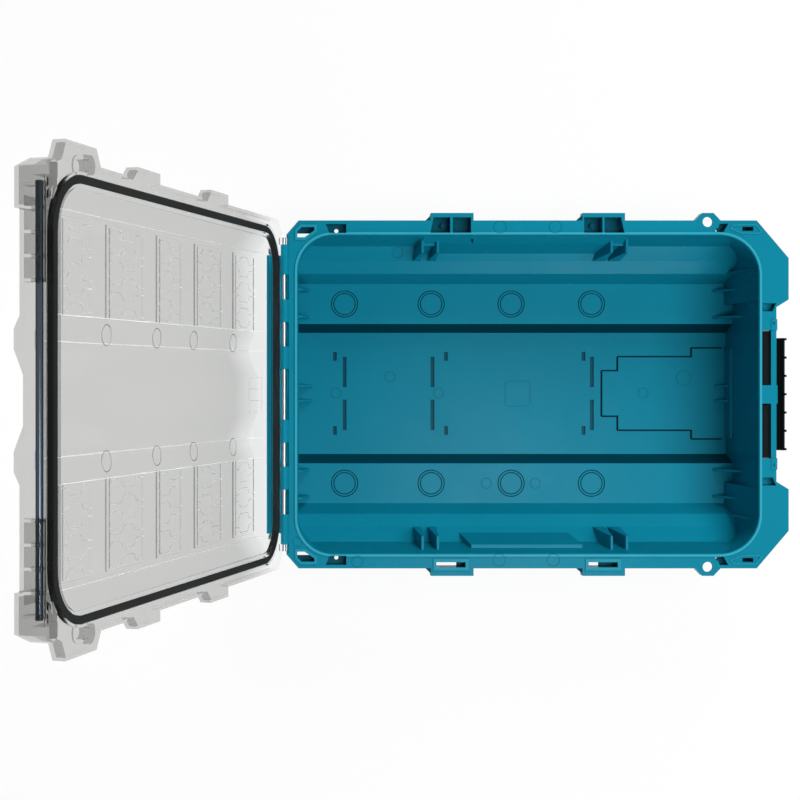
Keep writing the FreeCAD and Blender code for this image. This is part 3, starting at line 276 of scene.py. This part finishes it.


# Moulding marks on the tub: round pin marks on the flange, shelf, ledge and floor, and a faint square by
# the floor's middle. Each is a hair-thin raised line that follows the face under it, coloured dark teal as
# painted shade of the real marks' edges. A ring is listed by the place of its middle and its radius.
# Painted shade: the dark teal of the mark lines.
TEAL_MARK_SHADE = (0.001, 0.09, 0.14, 1.0)
MARK_WIDTH = 0.0005
MARK_HEIGHT = 0.00012
RING_STEPS = 40
CAST_HEIGHT = 0.2
DOWN = (0.0, 0.0, -1.0)
SQUARE_LOW = (-0.0182, -0.0145)
SQUARE_HIGH = (0.0104, 0.0141)
SQUARE_SHARES = (0.08, 0.5, 0.92)
TUB_MARKS = (
    (-0.0400, 0.1783, 0.0066), (0.0190, 0.1783, 0.0066), (-0.0410, -0.1764, 0.0066),
    (0.0168, -0.1764, 0.0066), (-0.1454, 0.1553, 0.0055), (-0.1120, 0.1420, 0.0060),
    (-0.0490, -0.1648, 0.0022), (0.0290, -0.1648, 0.0022), (-0.2440, -0.1300, 0.0048),
    (-0.2560, -0.1570, 0.0049), (-0.1920, -0.1780, 0.0060), (0.1857, 0.0177, 0.0085),
    (-0.2117, 0.0004, 0.0057), (-0.0943, 0.0004, 0.0057), (0.1393, 0.0004, 0.0057),
    (-0.1500, 0.0190, 0.0057), (-0.0430, -0.1010, 0.0057), (0.0120, -0.1010, 0.0057),
)


def swept_mesh(name, paths, width, height):
    """One mesh of thin raised lines, each a four-sided bar carried along its path.

    A path has places, the normals of the face under it, and whether it closes on itself. The bar's half
    width lies across both heading and normal, and it reaches as far under the face as over it.
    """
    points = []
    faces = []
    start = 0
    for places, normals, closed in paths:
        places = np.array(places)
        normals = np.array(normals)
        if closed:
            heading = np.roll(places, -1, axis=0) - np.roll(places, 1, axis=0)
        else:
            heading = np.gradient(places, axis=0)
        across = np.cross(heading, normals)
        across *= width / 2 / np.linalg.norm(across, axis=1)[:, None]
        low = places - normals * height
        high = places + normals * height
        points.append(np.stack((low - across, low + across, high + across, high - across), axis=1))
        rings = start + np.arange(4 * len(places)).reshape(-1, 4)
        here = rings if closed else rings[:-1]
        there = np.roll(rings, -1, axis=0) if closed else rings[1:]
        quads = np.stack((np.roll(here, -1, axis=1), here, there, np.roll(there, -1, axis=1)), axis=2)
        faces.append(quads.reshape(-1, 4))
        if not closed:
            faces.append(np.stack((rings[0], rings[-1][::-1])))
        start += rings.size
    mesh = bpy.data.meshes.new(name)
    mesh.from_pydata(np.concatenate(points).reshape(-1, 3).tolist(), [], np.concatenate(faces).tolist())
    piece = bpy.data.objects.new(name, mesh)
    bpy.context.scene.collection.objects.link(piece)
    return piece


def cast_path(solid, origins, way):
    """Places and normals where lines from the origins meet a solid. Origins that miss it are left out."""
    inverse = solid.matrix_world.inverted()
    heading = inverse.to_3x3() @ Vector(way)
    places = []
    normals = []
    for origin in origins:
        found, place, normal, _ = solid.ray_cast(inverse @ Vector(origin), heading)
        if found:
            places.append(solid.matrix_world @ place)
            normals.append(normal)
    return places, normals


def ring_places(x, y, radius, height):
    """Places round a level circle."""
    turns = np.arange(RING_STEPS) / RING_STEPS * 2 * np.pi
    level = np.full(RING_STEPS, height)
    return np.column_stack((x + radius * np.cos(turns), y + radius * np.sin(turns), level))


tub_solid = nodes["base_tub"]
marks = []
for x, y, radius in TUB_MARKS:
    places, normals = cast_path(tub_solid, ring_places(x, y, radius, CAST_HEIGHT), DOWN)
    if len(places) == RING_STEPS and np.ptp([place.z for place in places]) < radius * 2:
        marks.append((places, normals, True))
(left, near), (right, far) = SQUARE_LOW, SQUARE_HIGH
corners = np.array(((left, near), (right, near), (right, far), (left, far)))
ways = np.roll(corners, -1, axis=0) - corners
square = (corners[:, None] + ways[:, None] * np.array(SQUARE_SHARES)[:, None]).reshape(-1, 2)
places, normals = cast_path(tub_solid, np.column_stack((square, np.full(len(square), CAST_HEIGHT))), DOWN)
marks.append((places, normals, True))
pin_marks = swept_mesh("pin_marks", marks, MARK_WIDTH, MARK_HEIGHT)
pin_marks.data.materials.append(moulded_material(
    "teal_mark_painted_shade", TEAL_MARK_SHADE, shade_spread=0.1, gloss_middle=0.4, gloss_spread=0.1,
    grain_scale=1400.0, grain_strength=0.1, edge=0.0001, shine=0.07,
))
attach(pin_marks, "tub")


# Painted shadow line round the raised plate in the floor: a dark strip laid where the plate's edge meets the
# channel and shade falls.
# It runs back from the front wall in two steps, across the plate's narrow end and forward again.
TEAL_SHADOW = (0.0004, 0.02, 0.032, 1.0)
PLATE_CORNERS = np.array((
    (0.230, 0.0521), (0.1945, 0.0521), (0.1945, 0.0421), (0.1101, 0.0421), (0.1101, 0.0261), (0.0919, 0.0261),
    (0.0919, -0.0261), (0.1101, -0.0261), (0.1101, -0.0421), (0.1945, -0.0421), (0.1945, -0.0521),
    (0.230, -0.0521),
))
CORNER_CUT = 0.0004
SHADOW_LINE_LEVEL = 0.0028
SHADOW_LINE_WIDTH = 0.0018
SHADOW_LINE_HEIGHT = 0.0002
runs = np.diff(PLATE_CORNERS, axis=0)
cuts = runs / np.linalg.norm(runs, axis=1)[:, None] * CORNER_CUT
turns = np.stack((PLATE_CORNERS[:-1] + cuts, PLATE_CORNERS[1:] - cuts), axis=1).reshape(-1, 2)
shadow_line_places = np.column_stack((turns, np.full(len(turns), SHADOW_LINE_LEVEL)))
shadow_line_normals = np.tile((0.0, 0.0, 1.0), (len(turns), 1))
# Painted shadow: the dark strip along the plate's edge.
shadow_line = swept_mesh("plate_shadow_line", [(shadow_line_places, shadow_line_normals, False)], SHADOW_LINE_WIDTH, SHADOW_LINE_HEIGHT)
shadow_line.data.materials.append(moulded_material(
    "teal_shadow", TEAL_SHADOW, shade_spread=0.1, gloss_middle=0.5, gloss_spread=0.1,
    grain_scale=1400.0, grain_strength=0.1, edge=0.0001, shine=0.05,
))
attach(shadow_line, "tub")


# Hinge rod, latch axle and handle pins: drawn steel, cut to length and pushed into the moulding.
# Drawing leaves fine lines along the bar, which show as a streaky gloss.
STEEL = (0.32, 0.33, 0.34, 1.0)
DRAWN_LINES = (1400.0, 12.0, 1400.0)


def uneven_gloss(tree, place_socket, scale, low, high):
    """Roughness between two levels that follows noise over the surface. Returns the noise's value."""
    noise = tree.nodes.new("ShaderNodeTexNoise")
    noise.inputs["Scale"].default_value = scale
    gloss = tree.nodes.new("ShaderNodeMapRange")
    gloss.inputs["To Min"].default_value = low
    gloss.inputs["To Max"].default_value = high
    tree.links.new(place_socket, noise.inputs["Vector"])
    tree.links.new(noise.outputs["Fac"], gloss.inputs["Value"])
    tree.links.new(gloss.outputs["Result"], tree.nodes["Principled BSDF"].inputs["Roughness"])
    return noise.outputs["Fac"]


def steel_material(name, colour, roughness, streak):
    """Metal whose gloss follows noise stretched along the bar, across the box."""
    material = bpy.data.materials.new(name)
    material.use_nodes = True
    tree = material.node_tree
    shader = tree.nodes["Principled BSDF"]
    shader.inputs["Base Color"].default_value = colour
    shader.inputs["Metallic"].default_value = 1.0
    place = tree.nodes.new("ShaderNodeTexCoord")
    stretch = tree.nodes.new("ShaderNodeMapping")
    stretch.inputs["Scale"].default_value = DRAWN_LINES
    tree.links.new(place.outputs["Object"], stretch.inputs["Vector"])
    uneven_gloss(tree, stretch.outputs["Vector"], 1.0, roughness, roughness + streak)
    return material


drawn_steel = steel_material("drawn_steel", STEEL, roughness=0.22, streak=0.2)
for bar in ("hinge_rod", "latch_axle", "handle_pins"):
    dress(bar, drawn_steel)


# Carry handle and swing latch: black nylon mouldings, satin, on their own axles at the front.
# The handle hangs under the latch and the latch hangs open, its ridges towards the front.
BLACK = (0.004, 0.006, 0.0065, 1.0)
black_plastic = moulded_material(
    "black_nylon", BLACK, shade_spread=0.2, gloss_middle=0.36, gloss_spread=0.2,
    grain_scale=1800.0, grain_strength=0.3, edge=0.0005, shine=0.06,
)
dress("carry_handle", black_plastic)
dress("swing_latch", black_plastic)


# Grip sleeve: soft black rubber moulded round the handle's bar, matt and a little dusty grey.
# Its grain is coarser than that of the hard plastic.
GRIP_RUBBER = (0.022, 0.022, 0.023, 1.0)
dress("grip_sleeve", moulded_material(
    "grip_rubber", GRIP_RUBBER, shade_spread=0.3, gloss_middle=0.7, gloss_spread=0.2,
    grain_scale=900.0, grain_strength=0.5, edge=0.0006, shine=0.1,
))


# Clear lid: one polycarbonate moulding, polished inside and out, so that light passes and bends in it.
# The sheet is slightly grey, but clear at the rim by the hinge. Faint waves from the mould break its gloss.
CLEAR = (0.6, 0.602, 0.59, 1.0)
CLEAR_RIM = (0.94, 0.95, 0.95, 1.0)
CLEAR_BEND = 1.06
RIM_TO_SHEET = (0.13, 0.21)
WAVE_SCALE = 30.0
WAVE_DEPTH = 0.0004
WAVE_STRENGTH = 0.15
CLEAR_GLOSS = (0.03, 0.09)
CLEAR_SHADOW = (0.97, 0.97, 0.97, 1.0)
clear_plastic = bpy.data.materials.new("clear_polycarbonate")
clear_plastic.use_nodes = True
tree = clear_plastic.node_tree
shader = tree.nodes["Principled BSDF"]
shader.inputs["Transmission Weight"].default_value = 1.0
shader.inputs["IOR"].default_value = CLEAR_BEND
place = tree.nodes.new("ShaderNodeTexCoord")
wave = uneven_gloss(tree, place.outputs["Object"], WAVE_SCALE, *CLEAR_GLOSS)
ripple = tree.nodes.new("ShaderNodeBump")
ripple.inputs["Distance"].default_value = WAVE_DEPTH
ripple.inputs["Strength"].default_value = WAVE_STRENGTH
tree.links.new(wave, ripple.inputs["Height"])
tree.links.new(ripple.outputs["Normal"], shader.inputs["Normal"])
height = tree.nodes.new("ShaderNodeSeparateXYZ")
grey = tree.nodes.new("ShaderNodeMapRange")
grey.inputs["From Min"].default_value, grey.inputs["From Max"].default_value = RIM_TO_SHEET
tint = tree.nodes.new("ShaderNodeMix")
tint.data_type = "RGBA"
tint.inputs[6].default_value = CLEAR_RIM
tint.inputs[7].default_value = CLEAR
tree.links.new(place.outputs["Object"], height.inputs[0])
tree.links.new(height.outputs["Z"], grey.inputs["Value"])
tree.links.new(grey.outputs["Result"], tint.inputs["Factor"])
tree.links.new(tint.outputs[2], shader.inputs["Base Color"])
rays = tree.nodes.new("ShaderNodeLightPath")
see_through = tree.nodes.new("ShaderNodeBsdfTransparent")
see_through.inputs["Color"].default_value = CLEAR_SHADOW
mix = tree.nodes.new("ShaderNodeMixShader")
tree.links.new(rays.outputs["Is Shadow Ray"], mix.inputs["Fac"])
tree.links.new(shader.outputs["BSDF"], mix.inputs[1])
tree.links.new(see_through.outputs["BSDF"], mix.inputs[2])
tree.links.new(mix.outputs["Shader"], tree.nodes["Material Output"].inputs["Surface"])
dress("clear_lid", clear_plastic)


# Relief in the lid: a net of long six-sided cells over both side fields of the roof, raised from the sheet.
# It is made of rows of flat-topped waves, each row in antiphase to the next. Straight lines edge the rails
# and the fields, whiter and less clear than the net as painted highlights along those edges, and a small
# grid stands by the hinge.
RELIEF_ROWS = 6
RELIEF_FIELD = (0.0665, 0.1445)
RELIEF_SPANS = ((0.0345, 0.0905), (0.1275, 0.1905), (0.2265, 0.2775), (0.3105, 0.3795), (0.4115, 0.4625))
RELIEF_PERIOD = 0.05
RELIEF_SWING = 0.0033
RELIEF_STEPS = 26
RELIEF_WIDTH = 0.0006
RELIEF_TINT = (0.84, 0.86, 0.86, 1.0)
RELIEF_CLEARNESS = 0.7
EDGE_PLACES = (0.0455, 0.0665, 0.149)
EDGE_SPAN = (0.028, 0.482)
EDGE_STEPS = 60
EDGE_WIDTH = 0.0007
# Painted highlight: the near-white, half-clear tint of the edge lines.
EDGE_HIGHLIGHT_TINT = (0.95, 0.96, 0.96, 1.0)
EDGE_CLEARNESS = 0.35
GRID_PLACES = (-0.018, -0.006, 0.006, 0.018)
GRID_SPAN = (0.028, 0.06)
GRID_BARS = (0.0295, 0.06)
GRID_STEPS = 8
LINE_HEIGHT = 0.0002
LINE_BEND = 1.2
LINE_HAZE_SCALE = 60.0
LINE_GLOSS = (0.25, 0.45)
UNDER_ROOF = 0.01
lid_hinge = next(joint for joint in frame["joints"] if joint["name"] == "lid_hinge")
hinge_x, _, hinge_z = lid_hinge["pos_m"]
lid_turn = radians(lid_hinge["range_deg"][1])
lid_up = (-sin(lid_turn), 0.0, cos(lid_turn))
lid_solid = nodes["clear_lid"]


def lid_places(distance, across, height):
    """Places on the closed lid, by distance from the hinge and height, turned to the open rest pose."""
    distance, across = np.broadcast_arrays(distance, across)
    x = hinge_x + distance * cos(lid_turn) - height * sin(lid_turn)
    z = hinge_z + distance * sin(lid_turn) + height * cos(lid_turn)
    return np.stack((x, across, z), axis=-1)


def lid_line(distance, across):
    """An open path that follows the roof of the lid from inside."""
    places, normals = cast_path(lid_solid, lid_places(distance, across, UNDER_ROOF), lid_up)
    return places, normals, False


def flat_wave(share):
    """A wave between -1 and 1 with flat tops and slanted flanks."""
    return np.clip(3.0 * np.sin(2 * np.pi * share), -1.0, 1.0)


relief_paths = []
field_low, field_high = RELIEF_FIELD
for side in (1, -1):
    for row in range(RELIEF_ROWS):
        middle = field_low + (field_high - field_low) * (row + 0.5) / RELIEF_ROWS
        swing = RELIEF_SWING if row % 2 else -RELIEF_SWING
        for span in RELIEF_SPANS:
            distance = np.linspace(*span, RELIEF_STEPS)
            path = lid_line(distance, side * (middle + swing * flat_wave(distance / RELIEF_PERIOD)))
            if len(path[0]) == RELIEF_STEPS:
                relief_paths.append(path)
for across in GRID_PLACES:
    relief_paths.append(lid_line(np.linspace(*GRID_SPAN, GRID_STEPS), across))
for distance in GRID_BARS:
    relief_paths.append(lid_line(distance, np.linspace(GRID_PLACES[0], GRID_PLACES[-1], GRID_STEPS)))
edge_paths = []
for across in EDGE_PLACES:
    for side in (1, -1):
        edge_paths.append(lid_line(np.linspace(*EDGE_SPAN, EDGE_STEPS), side * across))


def line_material(name, colour, clearness):
    """Clear plastic of a thin raised line, hazier than the sheet that it stands on."""
    material = bpy.data.materials.new(name)
    material.use_nodes = True
    tree = material.node_tree
    shader = tree.nodes["Principled BSDF"]
    shader.inputs["Base Color"].default_value = colour
    shader.inputs["Transmission Weight"].default_value = clearness
    shader.inputs["IOR"].default_value = LINE_BEND
    place = tree.nodes.new("ShaderNodeTexCoord")
    uneven_gloss(tree, place.outputs["Object"], LINE_HAZE_SCALE, *LINE_GLOSS)
    return material


# The edge lines' tint is a painted highlight; the relief net keeps the plain hazy tint.
relief_looks = (
    ("lid_relief", relief_paths, RELIEF_WIDTH, "relief_plastic", RELIEF_TINT, RELIEF_CLEARNESS),
    ("lid_edge_highlights", edge_paths, EDGE_WIDTH, "edge_painted_highlight", EDGE_HIGHLIGHT_TINT, EDGE_CLEARNESS),
)
for name, paths, width, plastic, colour, clearness in relief_looks:
    lines = swept_mesh(name, paths, width, LINE_HEIGHT)
    lines.data.materials.append(line_material(plastic, colour, clearness))
    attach(lines, "lid")


# Round marks on the lid's two rails, a row of four on each, left by the pins that push the lid from its
# mould. They show as thin grey circles.
RAIL_MARK_GREY = (0.2, 0.21, 0.21, 1.0)
RAIL_MARK_PLACES = (0.375, 0.273, 0.188, 0.086)
RAIL_MARK_HALF = 0.053
RAIL_MARK_RADIUS = 0.009
RAIL_MARK_WIDTH = 0.0007
RAIL_MARK_HEIGHT = 0.0001
rail_marks = []
for distance in RAIL_MARK_PLACES:
    for across in (RAIL_MARK_HALF, -RAIL_MARK_HALF):
        places, normals, _ = lid_line([distance], [across])
        lift = np.array(places[0]) - lid_places(distance, across, 0.0)
        ring = ring_places(0.0, 0.0, RAIL_MARK_RADIUS, 0.0)
        circle = lid_places(distance + ring[:, 0], across + ring[:, 1], 0.0) + lift
        rail_marks.append((circle, normals * RING_STEPS, True))
rail_rings = swept_mesh("lid_pin_marks", rail_marks, RAIL_MARK_WIDTH, RAIL_MARK_HEIGHT)
rail_rings.data.materials.append(moulded_material(
    "grey_line", RAIL_MARK_GREY, shade_spread=0.1, gloss_middle=0.4, gloss_spread=0.1,
    grain_scale=900.0, grain_strength=0.1, edge=0.0001, shine=0.3,
))
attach(rail_rings, "lid")


# Lid gasket: a closed ring of dark foamed rubber pressed into the lid's groove.
# Its skin is matt and slightly pitted.
SEAL_RUBBER = (0.008, 0.009, 0.0085, 1.0)
dress("lid_gasket", moulded_material(
    "seal_rubber", SEAL_RUBBER, shade_spread=0.5, gloss_middle=0.62, gloss_spread=0.2,
    grain_scale=1100.0, grain_strength=0.6, edge=0.0012, shine=0.1,
))


# Strike rod: a plated steel bar across the lid's front, held in thin ribs. Its dark blue-grey colour is a
# painted reflection of dark surroundings in the bright bar.
# The latch's finger hooks over it when the lid is shut.
# Painted reflection: the dark blue-grey metal colour of the rod.
PLATED_DARK_REFLECTION = (0.055, 0.07, 0.09, 1.0)
dress("strike_rod", steel_material("plated_steel_painted_reflection", PLATED_DARK_REFLECTION, roughness=0.06, streak=0.08))


# Floor: a seamless white sweep that the box stands on.
# To the eye it is nearly plain white, while light that falls on the box only meets a pale diffuse sheet.
FLOOR_REACH = 6.0
FLOOR_COLOUR = (0.9, 0.9, 0.9, 1.0)
FLOOR_ROUGHNESS = 0.9
FLOOR_GLOW = 0.92
floor_mesh = bpy.data.meshes.new("floor")
floor_mesh.from_pydata([(-FLOOR_REACH, -FLOOR_REACH, 0), (FLOOR_REACH, -FLOOR_REACH, 0),
                        (FLOOR_REACH, FLOOR_REACH, 0), (-FLOOR_REACH, FLOOR_REACH, 0)], [], [(0, 1, 2, 3)])
floor = bpy.data.objects.new("floor", floor_mesh)
bpy.context.scene.collection.objects.link(floor)


def white_to_the_eye(tree, shader_socket, output, share):
    """Mix a plain white glow into what camera, mirror and clear-plastic rays see of a shader."""
    rays = tree.nodes.new("ShaderNodeLightPath")
    seen = rays.outputs["Is Camera Ray"]
    for name in ("Is Glossy Ray", "Is Transmission Ray"):
        either = tree.nodes.new("ShaderNodeMath")
        either.operation = "MAXIMUM"
        tree.links.new(seen, either.inputs[0])
        tree.links.new(rays.outputs[name], either.inputs[1])
        seen = either.outputs[0]
    part = tree.nodes.new("ShaderNodeMath")
    part.operation = "MULTIPLY"
    part.inputs[1].default_value = share
    tree.links.new(seen, part.inputs[0])
    glow = tree.nodes.new("ShaderNodeEmission")
    mix = tree.nodes.new("ShaderNodeMixShader")
    tree.links.new(part.outputs[0], mix.inputs["Fac"])
    tree.links.new(shader_socket, mix.inputs[1])
    tree.links.new(glow.outputs["Emission"], mix.inputs[2])
    tree.links.new(mix.outputs["Shader"], tree.nodes[output].inputs["Surface"])


paper = bpy.data.materials.new("white_sweep")
paper.use_nodes = True
tree = paper.node_tree
shader = tree.nodes["Principled BSDF"]
shader.inputs["Base Color"].default_value = FLOOR_COLOUR
shader.inputs["Roughness"].default_value = FLOOR_ROUGHNESS
white_to_the_eye(tree, shader.outputs["BSDF"], "Material Output", FLOOR_GLOW)
floor_mesh.materials.append(paper)


# Light: a large soft box over the front, small ones overhead and at both sides, and an even sky.
# Together they light an open level face at about the level at which a colour renders as it is written.
SKY_STRENGTH = 0.06
scene = bpy.context.scene
world = bpy.data.worlds.new("studio")
scene.world = world
world.use_nodes = True
tree = world.node_tree
sky = tree.nodes["Background"]
sky.inputs["Color"].default_value = (1.0, 1.0, 1.0, 1.0)
sky.inputs["Strength"].default_value = SKY_STRENGTH
white_to_the_eye(tree, sky.outputs["Background"], "World Output", 1.0)


def soft_box(name, place, target, size, power, mirrored):
    """A square lamp at a place, turned to face a target. Mirrored lamps also show as highlights."""
    lamp = bpy.data.lights.new(name, "AREA")
    lamp.shape = "SQUARE"
    lamp.size = size
    lamp.energy = power
    holder = bpy.data.objects.new(name, lamp)
    holder.location = place
    aim = Vector(target) - Vector(place)
    holder.rotation_euler = aim.to_track_quat("-Z", "Y").to_euler()
    holder.visible_glossy = mirrored
    bpy.context.scene.collection.objects.link(holder)


FLOOR_MIDDLE = (0.0, 0.0, 0.0)
TUB_MIDDLE = (0.0, 0.0, 0.1)
soft_box("key_box", (0.95, 0.05, 2.0), FLOOR_MIDDLE, size=1.1, power=26.0, mirrored=False)
soft_box("top_box", (0.25, -0.28, 2.2), FLOOR_MIDDLE, size=0.5, power=11.0, mirrored=True)
soft_box("low_box", (0.6, -2.1, 0.8), TUB_MIDDLE, size=0.8, power=16.0, mirrored=True)
soft_box("side_box", (0.6, 1.6, 1.3), TUB_MIDDLE, size=0.8, power=18.0, mirrored=False)


# Camera: looks straight down from above the hinge, its frame shifted over the whole box.
# Height and lens give 1.065 mm to a pixel on the flange, in the photograph's 800 px frame.
camera_data = bpy.data.cameras.new("camera")
camera_data.lens = 68.95
camera_data.shift_x = 0.125
camera_data.shift_y = -0.0246
camera = bpy.data.objects.new("camera", camera_data)
camera.location = (-0.253, 0.015, 1.757)
scene.collection.objects.link(camera)
scene.camera = camera

scene.view_settings.view_transform = "Standard"
